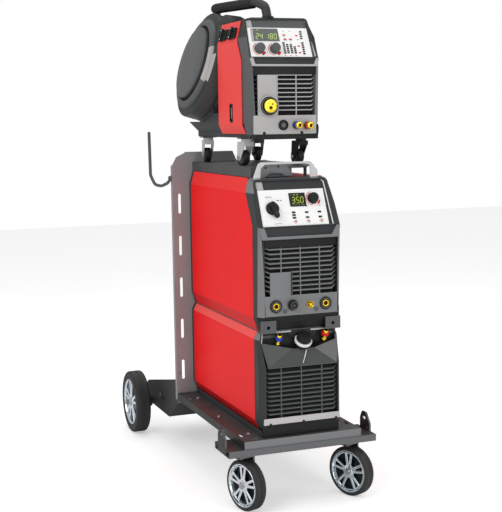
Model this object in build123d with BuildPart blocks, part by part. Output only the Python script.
from build123d import *
import os
from math import cos, radians, sin

# Welding set on a four-wheeled cart: a cooler at the bottom, the power source on top of it, and
# a wire feeder on small castors on the shelf above. Millimetres; x runs to the right seen from
# the front, y runs backwards, z runs up from the floor.
# Every y below is measured back from the front plane of the power source, which lies at
# FRONT_Y in the world and centres the set front to back. Outlines drawn on at_x planes are
# (y, z), on at_y planes (x, z) and on at_z planes (x, y).

os.makedirs("parts", exist_ok=True)

FRONT_Y = -554.34
SHEET = 3.0                # cart sheet thickness
WALL = 1.5                 # cabinet shell thickness
RUN = 0.05                 # radial running clearance
CUT = Mode.SUBTRACT

# ---------------------------------------------------------------- cart dimensions
DECK_HALF = 194.0
DECK_FRONT, DECK_BACK = -14.5, 660.0
DECK_BOTTOM, DECK_TOP = 203.0, 227.0
BEAM_HALF = 245.0          # front crossmember
BEAM_FRONT, BEAM_BACK, BEAM_BOTTOM = -17.5, 112.0, 182.0
COLUMN_HALF, COLUMN_DEPTH, COLUMN_TOP = 196.0, 18.0, 1079.0
COLUMN_Y = DECK_BACK       # front face of the back plate
SHELF_HALF, SHELF_FRONT = 122.0, 88.0
SHELF_BOTTOM, SHELF_TOP = 1014.0, 1045.0

FRONT_WHEEL_R, FRONT_WHEEL_W, FRONT_RIM_R = 79.0, 41.0, 67.0
REAR_WHEEL_R, REAR_WHEEL_W, REAR_RIM_R = 116.5, 55.0, 86.0
REAR_AXLE_Y, REAR_WHEEL_X = 1039.0, 245.5
REAR_AXLE_R = 10.0
# front castors: x, y of the swivel axis and swivel angle at rest
CASTORS = {"left": (-181.0, 60.0, 17.0), "right": (172.0, 60.0, 24.5)}
CASTOR_TRAIL = 28.0
CASTOR_STEM_R = 8.0
CASTOR_AXLE_R = 6.0

# ---------------------------------------------------------------- cabinet dimensions
CABINET_W = 270.0
CABINET_HALF = CABINET_W / 2
CHAMFER = 16.0             # vertical corners of the cabinet fronts
SHELL_FRONT, SHELL_BACK, COVER_BACK = 50.0, 640.0, 658.0
COOLER_BOTTOM, COOLER_TOP = 247.0, 548.0
POWER_BOTTOM, POWER_TOP = 553.0, 1012.0
# cross-sections: bottom, lower fold, upper fold, top, how far the folds lean in
COOLER_SHAPE = (COOLER_BOTTOM, 273.0, 526.0, COOLER_TOP, 11.0)
POWER_SHAPE = (POWER_BOTTOM, 590.0, 968.0, POWER_TOP, 12.0)

# ---------------------------------------------------------------- feeder dimensions
FEEDER_HALF = 115.0
FEEDER_FRONT, FEEDER_SEAM, DOOR_BACK, FEEDER_BACK = 105.0, 168.0, 392.0, 724.0
FEEDER_BASE, FEEDER_BOTTOM, FEEDER_TOP = 1132.0, 1150.0, 1495.0
DRUM_R, DRUM_T = 180.0, 96.0
DRUM_TILT = radians(16.7)
DRUM_CENTRE = (-120.0, FRONT_Y + 574.0, 1374.0)
FEEDER_CASTOR_X = 92.0
FEEDER_CASTORS = {"f": (200.0, 12.0), "r": (570.0, -8.0)}     # y, swivel angle


# ---------------------------------------------------------------- helpers
def at_x(x):
    return Plane(origin=(x, FRONT_Y, 0), x_dir=(0, 1, 0), z_dir=(1, 0, 0))


def at_y(y):
    """Plane facing forwards: a positive extrusion runs towards the front."""
    return Plane(origin=(0, FRONT_Y + y, 0), x_dir=(1, 0, 0), z_dir=(0, -1, 0))


def at_z(z):
    return Plane(origin=(0, FRONT_Y, z), x_dir=(1, 0, 0), z_dir=(0, 0, 1))


def leaning_plane(y, z, back, up):
    """Front panel plane from (y, z), leaning `back` over a height of `up`."""
    return Plane(origin=(0, FRONT_Y + y, z), x_dir=(1, 0, 0), z_dir=(0, -up, back))


def prism(plane, points, amount, mode=Mode.ADD):
    with BuildSketch(plane) as outline:
        with BuildLine():
            Polyline(*points, close=True)
        make_face()
    extrude(to_extrude=outline.sketch, amount=amount, mode=mode)


def discs(plane, places, radius, amount, mode=Mode.ADD):
    with BuildSketch(plane) as outline:
        with Locations(*places):
            Circle(radius)
    extrude(to_extrude=outline.sketch, amount=amount, mode=mode)


def rects(plane, places, width, height, amount, mode=Mode.ADD):
    with BuildSketch(plane) as outline:
        with Locations(*places):
            Rectangle(width, height)
    extrude(to_extrude=outline.sketch, amount=amount, mode=mode)


def slots(plane, places, length, width, rotation, amount, mode=Mode.ADD):
    with BuildSketch(plane) as outline:
        with Locations(*places):
            SlotOverall(length, width, rotation=rotation)
    extrude(to_extrude=outline.sketch, amount=amount, mode=mode)


def block(x0, x1, y0, y1, z0, z1, mode=Mode.ADD):
    rects(at_z(z0), [((x0 + x1) / 2, (y0 + y1) / 2)], x1 - x0, y1 - y0, z1 - z0, mode)


def cut_corners(half, front, size, bottom, height):
    """Chamfer the two vertical front corners of a box."""
    for side in (-1, 1):
        prism(at_z(bottom), [(side * (half + 1), front - 1), (side * (half - size), front - 1),
                             (side * (half + 1), front + size)], height, CUT)


def grid(columns, z0, pitch, rows):
    return [(x, z0 + pitch * i) for x in columns for i in range(rows)]


def save(part, name):
    part.label = name
    export_step(part, f"parts/{name}.step")


# ================================================================ cart
# deck: shallow tray, open below
DECK_CUT = at_z(DECK_TOP - SHEET - 1)
with BuildPart() as deck_tray:
    block(-DECK_HALF, DECK_HALF, DECK_FRONT, DECK_BACK, DECK_BOTTOM, DECK_TOP)
    block(-DECK_HALF + SHEET, DECK_HALF - SHEET, DECK_FRONT + SHEET, DECK_BACK - SHEET,
          DECK_BOTTOM, DECK_TOP - SHEET, CUT)
    slots(DECK_CUT, [(-178, 60), (178, 60), (-178, 560), (178, 560)], 34, 10, 90, SHEET + 2, CUT)
    slots(DECK_CUT, [(-150, 8), (150, 8)], 30, 10, 0, SHEET + 2, CUT)
    discs(DECK_CUT, [(-165, 300), (165, 300)], 5, SHEET + 2, CUT)
save(deck_tray.part, "deck_tray")

# box beam across the front, with an upright lug at each end
LUG_T = 6.0
LUG_OUTLINE = [(18, BEAM_BOTTOM), (84, BEAM_BOTTOM), (84, 236), (70, 258), (44, 258), (18, 226)]
BOLT_OFFSET = 26           # castor plate bolts from the swivel axis
with BuildPart() as front_crossmember:
    block(-BEAM_HALF, BEAM_HALF, BEAM_FRONT, BEAM_BACK, BEAM_BOTTOM, DECK_BOTTOM)
    block(-BEAM_HALF - 1, BEAM_HALF + 1, BEAM_FRONT + SHEET, BEAM_BACK - SHEET,
          BEAM_BOTTOM + SHEET, DECK_BOTTOM - SHEET, CUT)
    for lug_x in (-BEAM_HALF, BEAM_HALF - LUG_T):
        prism(at_x(lug_x), LUG_OUTLINE, LUG_T)
        discs(at_x(lug_x - 1), [(34, 212)], 4.5, LUG_T + 2, CUT)
        slots(at_x(lug_x - 1), [(58, 238)], 24, 11, 0, LUG_T + 2, CUT)
    for castor_x, castor_y, _ in CASTORS.values():
        bolts = [(castor_x + i * BOLT_OFFSET, castor_y + j * BOLT_OFFSET)
                 for i in (-1, 1) for j in (-1, 1)]
        discs(at_z(BEAM_BOTTOM - 1), [(castor_x, castor_y)], CASTOR_STEM_R, 6, CUT)
        discs(at_z(BEAM_BOTTOM - 1), bolts, 4.2, 6, CUT)
save(front_crossmember.part, "front_crossmember")

# two side plates joined by a bent floor sheet, carrying the rear axle
CARRIER_HALF = COLUMN_HALF - SHEET
CARRIER_SIDE = [(664, 203), (664, 189), (779, 112), (1000, 112), (1016, 97), (1060, 97),
                (1068, 108), (1068, 180), (1045, 194), (700, 268), (664, 268)]
CARRIER_FLOOR = [(664, 189), (779, 112), (1012, 112), (1012, 115), (780, 115), (664, 192.7)]
REAR_AXLE = (REAR_AXLE_Y, REAR_WHEEL_R)
with BuildPart() as rear_carrier:
    prism(at_x(-CARRIER_HALF), CARRIER_SIDE, SHEET)
    prism(at_x(CARRIER_HALF - SHEET), CARRIER_SIDE, SHEET)
    prism(at_x(-CARRIER_HALF + SHEET), CARRIER_FLOOR, 2 * (CARRIER_HALF - SHEET))
    discs(at_x(-CARRIER_HALF - 1), [REAR_AXLE], REAR_AXLE_R, 2 * CARRIER_HALF + 2, CUT)
    slots(at_x(-CARRIER_HALF - 1), [(860, 170)], 70, 22, 0, 2 * CARRIER_HALF + 2, CUT)
save(rear_carrier.part, "rear_carrier")

# axle with a collar outside each side plate
AXLE_HALF, COLLAR_END, COLLAR_R = 268, 217, 15
with BuildPart() as rear_axle:
    discs(at_x(-AXLE_HALF), [REAR_AXLE], REAR_AXLE_R, 2 * AXLE_HALF)
    discs(at_x(-COLLAR_END), [REAR_AXLE], COLLAR_R, COLLAR_END - CARRIER_HALF)
    discs(at_x(CARRIER_HALF), [REAR_AXLE], COLLAR_R, COLLAR_END - CARRIER_HALF)
save(rear_axle.part, "rear_axle")

# upright plate behind the cabinets, with flanges turned backwards
PLATE_BACK, FLANGE_BACK = COLUMN_Y + SHEET, COLUMN_Y + COLUMN_DEPTH
LEFT_TOP, RIGHT_TOP = COLUMN_TOP - 46, 1012
TOP_LEFT, TOP_RIGHT = -COLUMN_HALF + 52, 28      # ends of the top edge
PLATE_OUTLINE = [(-COLUMN_HALF, DECK_BOTTOM), (COLUMN_HALF, DECK_BOTTOM),
                 (COLUMN_HALF, RIGHT_TOP), (COLUMN_HALF - 16, 1032),
                 (COLUMN_HALF - 40, SHELF_TOP - 1), (44, SHELF_TOP - 1),
                 (TOP_RIGHT, COLUMN_TOP), (TOP_LEFT, COLUMN_TOP),
                 (-COLUMN_HALF + 16, COLUMN_TOP - 17), (-COLUMN_HALF, LEFT_TOP)]
with BuildPart() as back_plate:
    prism(at_y(PLATE_BACK), PLATE_OUTLINE, SHEET)
    block(-COLUMN_HALF, -COLUMN_HALF + SHEET, PLATE_BACK, FLANGE_BACK, DECK_BOTTOM, LEFT_TOP)
    # strip in front of the plate, standing on the shelf
    block(-SHELF_HALF + 6, 24, COLUMN_Y - SHEET, COLUMN_Y, SHELF_TOP, COLUMN_TOP)
    block(COLUMN_HALF - SHEET, COLUMN_HALF, PLATE_BACK, FLANGE_BACK, DECK_BOTTOM, RIGHT_TOP)
    block(TOP_LEFT, TOP_RIGHT, PLATE_BACK, FLANGE_BACK, COLUMN_TOP - SHEET, COLUMN_TOP)
    slots(at_y(PLATE_BACK + 1), grid((-171, 171), 900, -147.2, 5), 69, 10, 90, SHEET + 2, CUT)
    for opening_z0, opening_z1 in ((290, 520), (600, 930)):
        block(-100, 100, COLUMN_Y - 1, PLATE_BACK + 1, opening_z0, opening_z1, CUT)
save(back_plate.part, "back_plate")

# shelf: folded tray, open below, with its front right corner cut away
UNDER_SHELF = SHELF_BOTTOM - 1
with BuildPart() as top_shelf:
    block(-SHELF_HALF, SHELF_HALF, SHELF_FRONT, COLUMN_Y, SHELF_BOTTOM, SHELF_TOP)
    block(-SHELF_HALF + SHEET, SHELF_HALF - SHEET, SHELF_FRONT + SHEET, COLUMN_Y - SHEET,
          SHELF_BOTTOM, SHELF_TOP - SHEET, CUT)
    block(12, SHELF_HALF + 1, SHELF_FRONT - 1, COLUMN_Y - SHEET, UNDER_SHELF, SHELF_TOP - 6, CUT)
    prism(at_z(UNDER_SHELF), [(62, 87), (123, 87), (123, 170)], 40, CUT)
    block(57, 62, SHELF_FRONT, SHELF_FRONT + 14, UNDER_SHELF, SHELF_TOP - 1)
    discs(at_y(SHELF_FRONT + 10), [(-84, 1030), (-38, 1030)], 4.5, 20, CUT)
    slots(at_z(SHELF_TOP - 5), [(0, 200), (0, 400), (0, 560)], 90, 12, 0, 8, CUT)
save(top_shelf.part, "top_shelf")

# bent rod on the left edge of the column, in an upright plane that runs out and back
HOOK_Y = FRONT_Y + 674
HOOK_PLANE = Plane(origin=(-COLUMN_HALF - 6, HOOK_Y, 0), x_dir=(-0.83, 0.5578, 0),
                   z_dir=(0.5578, 0.83, 0))
HOOK_PATH = [(0, 988), (20, 961), (54, 961), (70, 1004), (70, 1146)]     # outwards, z
hook_start, hook_next = (HOOK_PLANE.from_local_coords((*p, 0)) for p in HOOK_PATH[:2])
with BuildPart() as torch_hook:
    with BuildLine(HOOK_PLANE):
        FilletPolyline(*HOOK_PATH, radius=13)
    with BuildSketch(Plane(origin=hook_start, z_dir=hook_next - hook_start)):
        Circle(5.5)
    sweep()
    # boss on the column
    discs(Plane(origin=(-COLUMN_HALF, HOOK_Y, 988), z_dir=(-1, 0, 0)), [(0, 0)], 9, 9)
save(torch_hook.part, "torch_hook")


# ---------------------------------------------------------------- wheels
def make_ring(radius, width, bore, rounding):
    """Wheel body or tyre about the x axis, with both outer edges rounded."""
    with BuildPart() as ring:
        with BuildSketch(Plane.YZ.offset(-width / 2)):
            Circle(radius)
            Circle(bore, mode=CUT)
        extrude(amount=width)
        rim_edges = ring.edges().filter_by(GeomType.CIRCLE).group_by(SortBy.RADIUS)[-1]
        fillet(rim_edges, rounding)
    return ring.part


def make_rim(radius, width, bore, hub_r):
    """Rim about the x axis, with five double spokes near its -x face."""
    spoke_start, spoke_end = hub_r * 0.8, radius * 0.86
    with BuildPart() as rim:
        with BuildSketch(Plane.YZ.offset(-width / 2)):
            Circle(radius)
            Circle(radius * 0.84, mode=CUT)
        extrude(amount=width)
        discs(Plane.YZ.offset(-width / 2 + 3), [(0, 0)], hub_r, width - 6)
        with BuildSketch(Plane.YZ.offset(-width / 2 + 5)):
            for i in range(5):
                for spread in (-11, 11):
                    with PolarLocations((spoke_end + spoke_start) / 2, 1,
                                        start_angle=72 * i + 90 + spread, rotate=True):
                        Rectangle(spoke_end - spoke_start, radius * 0.11)
        extrude(amount=9)
        discs(Plane.YZ.offset(-width / 2), [(0, 0)], bore, width, CUT)
        # ring of small blind holes in the -x face
        with BuildSketch(Plane.YZ.offset(-width / 2 + 3)):
            with PolarLocations(radius * 0.92, 20):
                Circle(radius * 0.02)
        extrude(amount=-4, mode=CUT)
    return rim.part


front_tyre = make_ring(FRONT_WHEEL_R, FRONT_WHEEL_W, FRONT_RIM_R, 6)
front_rim = make_rim(FRONT_RIM_R, FRONT_WHEEL_W - 4, CASTOR_AXLE_R + RUN, 18)
rear_tyre = make_ring(REAR_WHEEL_R, REAR_WHEEL_W, REAR_RIM_R, 6)
rear_rim = make_rim(REAR_RIM_R, REAR_WHEEL_W - 4, REAR_AXLE_R + RUN, 26)

# one-sided castor fork; swivel axis at the origin, wheel centre at (0, -CASTOR_TRAIL,
# FRONT_WHEEL_R)
LEG_X, LEG_T = FRONT_WHEEL_W / 2 + 3, 7
LEG_END = FRONT_WHEEL_W / 2 + 10
HEAD_Z, NECK_Z = 163, 171
LEG_OUTLINE = [(-CASTOR_TRAIL - 15, FRONT_WHEEL_R - 6), (-CASTOR_TRAIL + 15, FRONT_WHEEL_R - 6),
               (26, 150), (26, NECK_Z), (-34, NECK_Z), (-34, 150)]
CASTOR_AXLE = (-CASTOR_TRAIL, FRONT_WHEEL_R)
with BuildPart() as castor_fork:
    prism(Plane.YZ.offset(LEG_X), LEG_OUTLINE, LEG_T)
    rects(Plane.XY.offset(HEAD_Z), [(LEG_END / 2 - 14, -4)], LEG_END + 28, 60, NECK_Z - HEAD_Z)
    discs(Plane.XY.offset(NECK_Z), [(0, 0)], 27, 10.5)
    discs(Plane.XY.offset(181), [(0, 0)], CASTOR_STEM_R - RUN, 8)
    discs(Plane.YZ.offset(-FRONT_WHEEL_W / 2 + 1), [CASTOR_AXLE], CASTOR_AXLE_R,
          FRONT_WHEEL_W + 12)
    discs(Plane.YZ.offset(FRONT_WHEEL_W / 2 + 0.3), [CASTOR_AXLE], 10, 11)

for side_name, (castor_x, castor_y, angle) in CASTORS.items():
    swivel = Location((castor_x, FRONT_Y + castor_y, 0), (0, 0, angle))
    hub = swivel * Location((0, *CASTOR_AXLE))
    save(castor_fork.part.moved(swivel), "front_fork_" + side_name)
    save(front_tyre.moved(hub), "front_tyre_" + side_name)
    save(front_rim.moved(hub), "front_rim_" + side_name)

# the right wheel is turned round so that its spokes face outwards too
for side_name, wheel_x, turn in (("left", -REAR_WHEEL_X, 0), ("right", REAR_WHEEL_X, 180)):
    hub = Location((wheel_x, FRONT_Y + REAR_AXLE_Y, REAR_WHEEL_R), (0, 0, turn))
    save(rear_tyre.moved(hub), "rear_tyre_" + side_name)
    save(rear_rim.moved(hub), "rear_rim_" + side_name)


# ================================================================ cabinets, shared shapes
def cabinet_section(shape, inward=0.0):
    """Eight-sided cabinet section, optionally moved inwards by a wall thickness."""
    bottom, low_fold, high_fold, top, lean = shape
    narrow, wide = CABINET_HALF - lean, CABINET_HALF - inward
    return [(-narrow, bottom + inward), (narrow, bottom + inward), (wide, low_fold),
            (wide, high_fold), (narrow, top - inward), (-narrow, top - inward),
            (-wide, high_fold), (-wide, low_fold)]


def cabinet_shell(shape):
    prism(at_y(SHELL_BACK), cabinet_section(shape), SHELL_BACK - SHELL_FRONT)
    prism(at_y(SHELL_BACK + 1), cabinet_section(shape, WALL), SHELL_BACK - SHELL_FRONT + 2, CUT)


def rear_cover(shape, opening_z, opening_r, bar_length):
    """Hollow rear cap with a round opening crossed by two bars."""
    prism(at_y(COVER_BACK), cabinet_section(shape), COVER_BACK - SHELL_BACK)
    prism(at_y(COVER_BACK - 4), cabinet_section(shape, 3), 20, CUT)
    discs(at_y(COVER_BACK + 2), [(0, opening_z)], opening_r, 10, CUT)
    rects(at_y(COVER_BACK - 1), [(0, opening_z)], 8, bar_length, 3)
    rects(at_y(COVER_BACK - 1), [(0, opening_z)], bar_length, 8, 3)


def panel_plate(plane, centre, width, height, holes):
    """Panel 2 mm thick, let into its recess with 0.2 mm all round."""
    with BuildSketch(plane.offset(-2)) as plate:
        with Locations(centre):
            Rectangle(width - 0.4, height - 0.4)
        with Locations(*holes):
            Circle(SHAFT_R, mode=CUT)
    extrude(to_extrude=plate.sketch, amount=2)


def knob_shaft(plane, place):
    discs(plane.offset(-8), [place], SHAFT_R - RUN, 9)


def make_knob(plane, place, radius, height):
    with BuildPart() as knob:
        with BuildSketch(plane.offset(0.5)):
            with Locations(place):
                Circle(radius)
        extrude(amount=height, taper=6)
        knob_shaft(plane, place)
    return knob.part


SHAFT_R = 4.0              # panel holes for knob shafts and buttons

# ================================================================ cooler
FILLER_X, FILLER_Z = 12.0, 516.0
FILLER = (FILLER_X, FILLER_Z)
COUPLINGS = [(-68.0, 532.0), (86.0, 535.0)]      # blue, red

with BuildPart() as cooler_shell:
    cabinet_shell(COOLER_SHAPE)
save(cooler_shell.part, "cooler_shell")

# front with a sloping upper part and four columns of vents
COOLER_PROFILE = [(SHELL_FRONT, COOLER_BOTTOM), (4, COOLER_BOTTOM), (4, 268), (0, 272), (0, 442),
                  (26, 530), (26, COOLER_TOP), (SHELL_FRONT, COOLER_TOP)]
COOLER_INNER = [(51, COOLER_BOTTOM + 3), (7, COOLER_BOTTOM + 3), (4, 275), (4, 441),
                (30, 528), (30, COOLER_TOP - 3), (51, COOLER_TOP - 3)]
with BuildPart() as cooler_front:
    prism(at_x(-CABINET_HALF), COOLER_PROFILE, CABINET_W)
    prism(at_y(60), cabinet_section(COOLER_SHAPE), 80, Mode.INTERSECT)
    prism(at_x(-CABINET_HALF + 4), COOLER_INNER, CABINET_W - 8, CUT)
    cut_corners(CABINET_HALF, 0, CHAMFER, COOLER_BOTTOM - 1, 400)
    rects(at_y(6), grid((-80, -27, 27, 80), 300, 13.2, 11), 46, 7.5, 8, CUT)
    discs(at_y(40), [FILLER], 24, 60, CUT)
    discs(at_y(40), COUPLINGS, 8, 60, CUT)
save(cooler_front.part, "cooler_front")

with BuildPart() as cooler_rear:
    rear_cover(COOLER_SHAPE, 400, 62, 130)
    # plinth between the deck and the cooler
    block(-CABINET_HALF + 6, CABINET_HALF - 6, 10, 640, DECK_TOP, COOLER_BOTTOM)
    block(-CABINET_HALF + 9, CABINET_HALF - 9, 13, 637, DECK_TOP + 3, COOLER_BOTTOM + 1, CUT)
save(cooler_rear.part, "cooler_rear")

# hollow tank with a filler neck at the front and a sheet standing below it
with BuildPart() as cooler_tank:
    block(-70, 94, 60, 330, 400, 540)
    block(-66, 90, 64, 326, 404, 536, CUT)
    discs(at_y(62), [FILLER], 17, 34)
    discs(at_y(66), [FILLER], 13, 60, CUT)
    block(-60, 60, 120, 122, COOLER_BOTTOM + 3, 400)
save(cooler_tank.part, "cooler_tank")

# grooved cap, tipped upwards
CAP_PLANE = Plane(origin=(FILLER_X, FRONT_Y + 12, FILLER_Z), x_dir=(1, 0, 0),
                  z_dir=(0, -0.59, 0.8074))
CAP_R = 22
with BuildPart() as filler_cap:
    discs(CAP_PLANE.offset(5), [(0, 0)], CAP_R, 18)
    with BuildSketch(CAP_PLANE.offset(8)):
        with PolarLocations(CAP_R, 18):
            Circle(2.2)
    extrude(amount=18, mode=CUT)
    discs(CAP_PLANE.offset(-2), [(0, 0)], 11, 8)
save(filler_cap.part, "filler_cap")

# stepped couplings with a hexagon, bored through
with BuildPart() as coolant_couplings:
    for place in COUPLINGS:
        discs(at_y(34), [place], 7.5, 30)
        discs(at_y(16), [place], 11, 9)
        with BuildSketch(at_y(8)):
            with Locations(place):
                RegularPolygon(10.5, 6)
        extrude(amount=6)
        discs(at_y(4), [place], 6.5, 14)
        discs(at_y(36), [place], 4, 60, CUT)
save(coolant_couplings.part, "coolant_couplings")

# ================================================================ power source
PANEL_Z, PANEL_BACK = 870, 62.0      # foot of the leaning panel, how far it leans back
POWER_PANEL = leaning_plane(0, PANEL_Z, PANEL_BACK, POWER_TOP - PANEL_Z)
# places on the panel: x, distance up the slope
PANEL_CENTRE, PANEL_W, PANEL_H = (-8.5, 59.0), 207.0, 112.0
SWITCH = (-81.0, 56.0)
CURRENT = (56.0, 84.0)
BUTTONS = {"button_left": (-12.0, 13.0), "button_middle": (30.0, 13.0),
           "button_right": (73.0, 13.0)}
SOCKETS = [(-81.0, 629.0), (82.0, 629.0)]
SMALL_SOCKETS = [(-25, 630), (30, 629)]
FAN = (0, 760)
# joint between front and shell, leaning back with the panel
POWER_JOINT = [(SHELL_FRONT, POWER_BOTTOM), (50, PANEL_Z), (105, 968), (112, POWER_TOP)]

with BuildPart() as power_shell:
    cabinet_shell(POWER_SHAPE)
    prism(at_x(-CABINET_HALF - 1),
          [(40, POWER_BOTTOM - 1), (SHELL_FRONT, POWER_BOTTOM - 1), *POWER_JOINT[1:],
           (112, POWER_TOP + 1), (40, POWER_TOP + 1)], CABINET_W + 2, CUT)
save(power_shell.part, "power_shell")

POWER_PROFILE = POWER_JOINT + [(PANEL_BACK, POWER_TOP), (0, PANEL_Z), (0, 597),
                               (22, POWER_BOTTOM)]
POWER_INNER = [(51, POWER_BOTTOM - 1), (51, PANEL_Z), (106, 968), (110, POWER_TOP - 4),
               (PANEL_BACK + 3, POWER_TOP - 4), (5, 868), (5, 600), (26, POWER_BOTTOM - 1)]
# the two left columns of vents stop higher up
POWER_VENTS = [(x, z) for x, z in grid((-76, -26, 26, 78), 666, 14.2, 11)
               if not (x < -20 and z < 738)]
with BuildPart() as power_front:
    prism(at_x(-CABINET_HALF), POWER_PROFILE, CABINET_W)
    prism(at_y(130), cabinet_section(POWER_SHAPE), 140, Mode.INTERSECT)
    prism(at_x(-CABINET_HALF + 4), POWER_INNER, CABINET_W - 8, CUT)
    cut_corners(CABINET_HALF, 0, CHAMFER, POWER_BOTTOM - 1, 330)
    rects(at_y(6), POWER_VENTS, 44, 8.5, 8, CUT)
    rects(POWER_PANEL, [PANEL_CENTRE], PANEL_W, PANEL_H, -2, CUT)
    discs(POWER_PANEL.offset(2), [SWITCH, CURRENT], 6, -14, CUT)
    discs(POWER_PANEL.offset(2), BUTTONS.values(), 4.5, -14, CUT)
    discs(at_y(10), SOCKETS, 12, 12, CUT)
    discs(at_y(10), SMALL_SOCKETS, 8, 12, CUT)
save(power_front.part, "power_front")

with BuildPart() as power_rear:
    rear_cover(POWER_SHAPE, FAN[1], 78, 160)
save(power_rear.part, "power_rear")

# base plate with two drilled angle feet at the front
with BuildPart() as power_chassis:
    block(-CABINET_HALF + 14, CABINET_HALF - 14, 28, 638, COOLER_TOP, POWER_BOTTOM - 1)
    for foot_x in (-105, 108):
        block(foot_x - 25, foot_x + 25, 2, 28, COOLER_TOP, COOLER_TOP + 3)
        block(foot_x - 25, foot_x + 25, 2, 5, COOLER_TOP + 3, 586)
        discs(at_y(10), [(foot_x, 565)], 5.5, 12, CUT)
save(power_chassis.part, "power_chassis")

# finned plate on two legs, with blocks on top of the fins
with BuildPart() as inverter_block:
    block(-90, 90, 160, 520, 600, 612)
    for i in range(13):
        block(-88 + i * 14, -84 + i * 14, 160, 520, 612, 680)
    block(-60, 60, 200, 330, 690, 800)
    block(-50, 50, 200, 330, 680, 690)
    block(-72, 72, 380, 500, 680, 850)
    block(-90, 90, 160, 163, POWER_BOTTOM + WALL, 600)
    block(-90, 90, 517, 520, POWER_BOTTOM + WALL, 600)
save(inverter_block.part, "inverter_block")

with BuildPart() as power_panel:
    panel_plate(POWER_PANEL, PANEL_CENTRE, PANEL_W, PANEL_H,
                [SWITCH, CURRENT, *BUTTONS.values()])
save(power_panel.part, "power_panel")

# disc with a grip bar
with BuildPart() as power_switch_knob:
    discs(POWER_PANEL.offset(0.5), [SWITCH], 15, 5)
    slots(POWER_PANEL.offset(5), [(SWITCH[0], SWITCH[1] - 3)], 42, 13, 78, 13)
    knob_shaft(POWER_PANEL, SWITCH)
save(power_switch_knob.part, "power_switch_knob")

save(make_knob(POWER_PANEL, CURRENT, 15, 16), "current_knob")

for name, place in BUTTONS.items():
    with BuildPart() as button:
        discs(POWER_PANEL.offset(-6), [place], SHAFT_R - RUN, 8)
        discs(POWER_PANEL.offset(-8), [place], 3, 3)
    save(button.part, name)

# flanged sockets; the two large ones are bored
with BuildPart() as output_sockets:
    discs(at_y(0), SOCKETS, 18.5, 7)
    discs(at_y(30), SOCKETS, 12, 31)
    discs(at_y(20), SOCKETS, 6.5, 40, CUT)
    discs(at_y(0), SMALL_SOCKETS, 11, 6)
    discs(at_y(20), SMALL_SOCKETS, 7.8, 21)
save(output_sockets.part, "output_sockets")

# square bar across the top of the front, trimmed flat where it meets the cabinet
FRONT_HANDLE_PATH = [(-126, FRONT_Y + 76, POWER_TOP), (-114, FRONT_Y + 62, POWER_TOP + 44),
                     (60, FRONT_Y + 62, POWER_TOP + 46), (78, FRONT_Y + 76, POWER_TOP)]
with BuildPart() as front_handle:
    with BuildLine() as path:
        FilletPolyline(*FRONT_HANDLE_PATH, radius=14)
    with BuildSketch(Plane(origin=path.line @ 0, z_dir=path.line % 0)):
        Rectangle(14, 14)
    sweep(transition=Transition.RIGHT)
    block(-200, 200, 0, 200, POWER_TOP - 30, POWER_TOP, CUT)
save(front_handle.part, "front_handle")

with BuildPart() as fan_rotor:
    discs(at_y(650), [FAN], 24, 22)
    with BuildSketch(at_y(650)):
        with Locations(FAN):
            with PolarLocations(45, 7):
                Rectangle(52, 20)
    extrude(amount=4)
save(fan_rotor.part, "fan_rotor")

# ================================================================ wire feeder
# outer face of the spool cover: local x runs forwards, z points into the feeder
DRUM_PLANE = Plane(origin=DRUM_CENTRE, x_dir=(0, -1, 0),
                   z_dir=(cos(DRUM_TILT), 0, -sin(DRUM_TILT)))
DRUM_AXIS = [(0, 0)]
FEEDER_SECTION = [(-FEEDER_HALF + 14, FEEDER_BOTTOM), (FEEDER_HALF - 14, FEEDER_BOTTOM),
                  (FEEDER_HALF, FEEDER_BOTTOM + 30), (FEEDER_HALF, FEEDER_TOP - 70),
                  (FEEDER_HALF - 20, FEEDER_TOP), (-FEEDER_HALF + 20, FEEDER_TOP),
                  (-FEEDER_HALF, FEEDER_TOP - 70), (-FEEDER_HALF, FEEDER_BOTTOM + 30)]
FEEDER_PROFILE = [(FEEDER_SEAM, FEEDER_BOTTOM), (FEEDER_SEAM, 1366), (205, 1428),
                  (213, FEEDER_TOP), (FEEDER_BACK, FEEDER_TOP), (FEEDER_BACK, 1196),
                  (646, FEEDER_BOTTOM)]
with BuildPart() as feeder_chassis:
    prism(at_x(-FEEDER_HALF), FEEDER_PROFILE, 2 * FEEDER_HALF)
    prism(at_y(740), FEEDER_SECTION, 700, Mode.INTERSECT)
    # drive compartment behind the side door
    block(-FEEDER_HALF - 1, -20, 160, DOOR_BACK - 6, FEEDER_BOTTOM + 3, FEEDER_TOP + 1, CUT)
    block(-FEEDER_HALF - 1, -20, DOOR_BACK - 7, DOOR_BACK + 60, FEEDER_BOTTOM + 60,
          FEEDER_TOP - 60, CUT)
    # electronics side
    block(-16, FEEDER_HALF - 4, 160, FEEDER_BACK - 4, FEEDER_BOTTOM + 4, FEEDER_TOP - 40, CUT)
    # round opening for the spool and its cover
    discs(DRUM_PLANE.offset(-80), DRUM_AXIS, DRUM_R + 1.5, 80 + DRUM_T + 2, CUT)
    # the opening runs on to the back so that the cover can swing out around its rear hinge
    rects(DRUM_PLANE.offset(-80), [(-(DRUM_R + 60) / 2, 0)], DRUM_R + 60, 2 * DRUM_R + 3,
          80 + DRUM_T + 0.5, CUT)
    # low base, which also closes the bottom of the side opening
    block(-102, 102, 140, 646, FEEDER_BASE, FEEDER_BOTTOM)
    block(-99, 99, 143, 643, FEEDER_BASE - 1, FEEDER_BOTTOM - 3, CUT)
    # castor plates under the base, and the strips that carry them
    for plate_x in (-FEEDER_CASTOR_X, FEEDER_CASTOR_X):
        for plate_y, _ in FEEDER_CASTORS.values():
            block(plate_x - 23, plate_x + 23, plate_y - 23, plate_y + 23,
                  FEEDER_BASE - 3, FEEDER_BASE)
    for plate_y, _ in FEEDER_CASTORS.values():
        block(-99, 99, plate_y - 35, plate_y + 35, FEEDER_BASE, FEEDER_BASE + 3)
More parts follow.
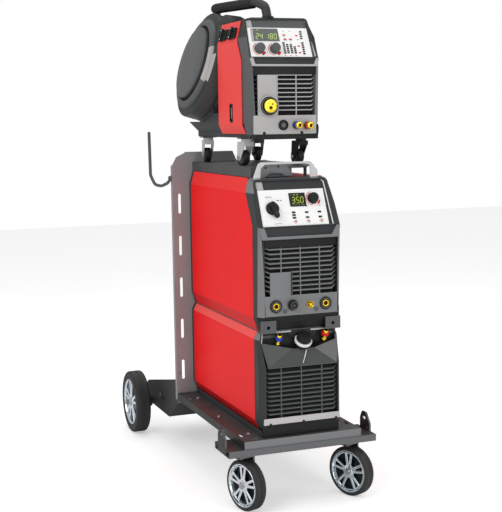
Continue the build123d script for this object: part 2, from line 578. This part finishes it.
save(feeder_chassis.part, "feeder_chassis")

# front cap with a leaning panel; it stands 2 mm above the chassis
CAP_BOTTOM, CAP_TOP = 1138, FEEDER_TOP + 2
CAP_PANEL_Z, CAP_PANEL_BACK = 1372, 45
FEEDER_PANEL = leaning_plane(FEEDER_FRONT, CAP_PANEL_Z, CAP_PANEL_BACK, CAP_TOP - CAP_PANEL_Z)
FEEDER_PANEL_CENTRE, FEEDER_PANEL_W, FEEDER_PANEL_H = (-15, 50), 200, 94
FEEDER_KNOBS = {"feeder_knob_left": (-80.0, 28.0), "feeder_knob_right": (-30.0, 28.0)}
EURO = (-56.0, 1228.0)
CAP_PROFILE = [(FEEDER_SEAM, CAP_BOTTOM), (FEEDER_FRONT, CAP_BOTTOM), (FEEDER_FRONT, CAP_PANEL_Z),
               (FEEDER_FRONT + CAP_PANEL_BACK, CAP_TOP), (213, CAP_TOP), (205, 1428),
               (FEEDER_SEAM, 1366)]
CAP_SECTION = [(-FEEDER_HALF + 12, CAP_BOTTOM), (FEEDER_HALF - 12, CAP_BOTTOM),
               (FEEDER_HALF, FEEDER_BOTTOM + 30), (FEEDER_HALF, FEEDER_TOP - 60),
               (FEEDER_HALF - 26, CAP_TOP), (-FEEDER_HALF + 12, CAP_TOP),
               (-FEEDER_HALF, FEEDER_TOP - 60), (-FEEDER_HALF, FEEDER_BOTTOM + 30)]
CAP_INNER = [(169, 1154), (FEEDER_FRONT + 4, 1154), (FEEDER_FRONT + 4, 1371),
             (FEEDER_FRONT + 48, FEEDER_TOP - 4), (212, FEEDER_TOP - 4), (206, 1428), (169, 1366)]
with BuildPart() as feeder_front:
    prism(at_x(-FEEDER_HALF), CAP_PROFILE, 2 * FEEDER_HALF)
    prism(at_y(215), CAP_SECTION, 120, Mode.INTERSECT)
    prism(at_x(-FEEDER_HALF + 4), CAP_INNER, 2 * FEEDER_HALF - 8, CUT)
    block(-FEEDER_HALF + 4, FEEDER_HALF - 4, 140, 169, CAP_BOTTOM - 1, 1160, CUT)
    cut_corners(FEEDER_HALF, FEEDER_FRONT, 13, 1130, 380)
    rects(at_y(FEEDER_FRONT + 5), grid((2, 70), 1209, 13.2, 9), 56, 7.5, 8, CUT)
    rects(FEEDER_PANEL, [FEEDER_PANEL_CENTRE], FEEDER_PANEL_W, FEEDER_PANEL_H, -2, CUT)
    discs(FEEDER_PANEL.offset(2), FEEDER_KNOBS.values(), 6, -14, CUT)
    discs(at_y(FEEDER_FRONT + 10), [EURO], 14, 12, CUT)
save(feeder_front.part, "feeder_front")

with BuildPart() as feeder_panel:
    panel_plate(FEEDER_PANEL, FEEDER_PANEL_CENTRE, FEEDER_PANEL_W, FEEDER_PANEL_H,
                FEEDER_KNOBS.values())
save(feeder_panel.part, "feeder_panel")

for name, place in FEEDER_KNOBS.items():
    save(make_knob(FEEDER_PANEL, place, 14, 14), name)

# stepped, bored connector, with three small studs below it
with BuildPart() as euro_connector:
    discs(at_y(FEEDER_FRONT), [EURO], 31, 6)
    discs(at_y(FEEDER_FRONT - 6), [EURO], 20, 16)
    discs(at_y(150), [EURO], 13.5, 46)
    discs(at_y(160), [EURO], 4, 80, CUT)
    discs(at_y(FEEDER_FRONT), [(-7, 1170), (34, 1169), (71, 1168)], 8, 12)
save(euro_connector.part, "euro_connector")

# folded sheet door on the left side, trimmed along the front cap
DOOR_X, DOOR_FOLD = -FEEDER_HALF - 3, 1425
DOOR_OUTER = [(-FEEDER_HALF + 9, FEEDER_BOTTOM - 6), (DOOR_X, FEEDER_BOTTOM + 22),
              (DOOR_X, DOOR_FOLD), (-FEEDER_HALF + 14, 1491)]
DOOR_INNER = [(x + 2.6, z) for x, z in reversed(DOOR_OUTER)]
DOOR_TRIM = [(150, FEEDER_BOTTOM - 20), (170, FEEDER_BOTTOM - 20), (170, 1368), (207, 1430),
             (215, 1500), (150, 1500)]
with BuildPart() as feeder_door:
    prism(at_y(DOOR_BACK - 8), DOOR_OUTER + DOOR_INNER, DOOR_BACK - 8 - 160)
    prism(at_x(-FEEDER_HALF - 10), DOOR_TRIM, 40, CUT)
    rects(at_x(-FEEDER_HALF - 4), [(264, 1209)], 24, 54, 5, CUT)
save(feeder_door.part, "feeder_door")

# latches on the leaning top part of the door; local x runs forwards
LATCH_PLANE = Plane(origin=(DOOR_X, FRONT_Y, DOOR_FOLD), x_dir=(0, -1, 0), z_dir=(-66, 0, 17))
for name, latch_y in (("front", 258.0), ("rear", 343.0)):
    with BuildPart() as latch:
        with BuildSketch(LATCH_PLANE.offset(0.4)):
            with Locations((-latch_y, 30)):
                RectangleRounded(62, 40, 4)
        extrude(amount=6)
        slots(LATCH_PLANE.offset(6.4), [(-latch_y, 30)], 44, 14, 0, 3)
    save(latch.part, "door_latch_" + name)

# hollow drum with a conical outer face
with BuildPart() as spool_cover:
    discs(DRUM_PLANE, DRUM_AXIS, DRUM_R, DRUM_T)
    with BuildSketch(DRUM_PLANE):
        Circle(DRUM_R - 8)
    extrude(amount=-33, taper=58)
    discs(DRUM_PLANE.offset(3), DRUM_AXIS, DRUM_R - 3, DRUM_T, CUT)
save(spool_cover.part, "spool_cover")

SPOOL_BORE = 25
with BuildPart() as wire_spool:
    discs(DRUM_PLANE.offset(10), DRUM_AXIS, 150, 4)
    discs(DRUM_PLANE.offset(90), DRUM_AXIS, 150, 4)
    discs(DRUM_PLANE.offset(14), DRUM_AXIS, 128, 76)
    discs(DRUM_PLANE.offset(9), DRUM_AXIS, SPOOL_BORE, 90, CUT)
save(wire_spool.part, "wire_spool")

# pair of rolls, 1.2 mm apart
ROLL_X, ROLL_R, STUD_R = -62.0, 18.0, 6
ROLLS = {"lower": (290.0, 1262.0), "upper": (290.0, 1262.0 + 2 * ROLL_R + 1.2)}
for name, place in ROLLS.items():
    with BuildPart() as roll:
        with BuildSketch(at_x(ROLL_X - 6)):
            with Locations(place):
                Circle(ROLL_R)
                Circle(STUD_R + RUN, mode=CUT)
        extrude(amount=12)
    save(roll.part, "drive_roll_" + name)

with BuildPart() as wire_drive:
    # spindle that carries the spool
    discs(DRUM_PLANE.offset(DRUM_T - 1.5), DRUM_AXIS, 60, 3.5)
    discs(DRUM_PLANE.offset(14), DRUM_AXIS, SPOOL_BORE - RUN, DRUM_T - 15)
    # roll plate with its studs and the feed motor
    block(-50, -44, 240, 340, FEEDER_BOTTOM + 60, 1350)
    discs(at_x(-50), ROLLS.values(), STUD_R, -22)
    block(-44, -20, 250, 330, 1240, 1320)
save(wire_drive.part, "wire_drive")

# round bar along the top, cut off level at the height of the front cap
HANDLE_PATH = [(-32, 172, CAP_TOP), (-32, 196, 1530), (-32, 262, 1548), (-32, 668, 1574),
               (-28, 706, 1560), (-24, 712, FEEDER_TOP)]     # x, y, z
with BuildPart() as feeder_handle:
    with BuildLine() as path:
        FilletPolyline(*[(x, FRONT_Y + y, z) for x, y, z in HANDLE_PATH], radius=16)
    with BuildSketch(Plane(origin=path.line @ 0, z_dir=path.line % 0)):
        Circle(13)
    sweep(transition=Transition.ROUND)
    block(-80, 80, 100, 760, FEEDER_TOP - 30, CAP_TOP, CUT)
save(feeder_handle.part, "feeder_handle")

# ---------------------------------------------------------------- feeder castors
# fork frame: swivel axis at the origin, z up from the shelf, wheel centre at SMALL_AXLE (y, z)
SMALL_R, SMALL_AXLE_R = 25.0, 4
SMALL_H = FEEDER_BASE - SHELF_TOP
SMALL_AXLE = (20.0, SMALL_R)
SMALL_LEG = [(-15, SMALL_H - 12), (27, SMALL_H - 12), (30, SMALL_R + 8), (26, SMALL_R - 8),
             (14, SMALL_R - 8), (-10, SMALL_H - 28)]
with BuildPart() as small_fork:
    discs(Plane.XY.offset(SMALL_H - 12), [(0, 0)], 17, 8.7)
    rects(Plane.XY.offset(SMALL_H - 26), [(0, 6)], 34, 42, 14)
    for leg_x in (-15.5, 15.5):
        prism(Plane.YZ.offset(leg_x - 1.5), SMALL_LEG, 3)
    # room for the wheel between the legs
    rects(Plane.XY.offset(SMALL_R + 27), [(0, 6)], 28, 80, -60, CUT)
    discs(Plane.YZ.offset(-19), [SMALL_AXLE], SMALL_AXLE_R, 38)

small_wheel = make_ring(SMALL_R - 0.4, 22, SMALL_AXLE_R + RUN, 4)

for row, (castor_y, angle) in FEEDER_CASTORS.items():
    for column, castor_x in (("l", -FEEDER_CASTOR_X), ("r", FEEDER_CASTOR_X)):
        swivel = Location((castor_x, FRONT_Y + castor_y, SHELF_TOP), (0, 0, angle))
        save(small_fork.part.moved(swivel), f"feeder_fork_{row}{column}")
        save(small_wheel.moved(swivel * Location((0, *SMALL_AXLE))),
             f"feeder_wheel_{row}{column}")
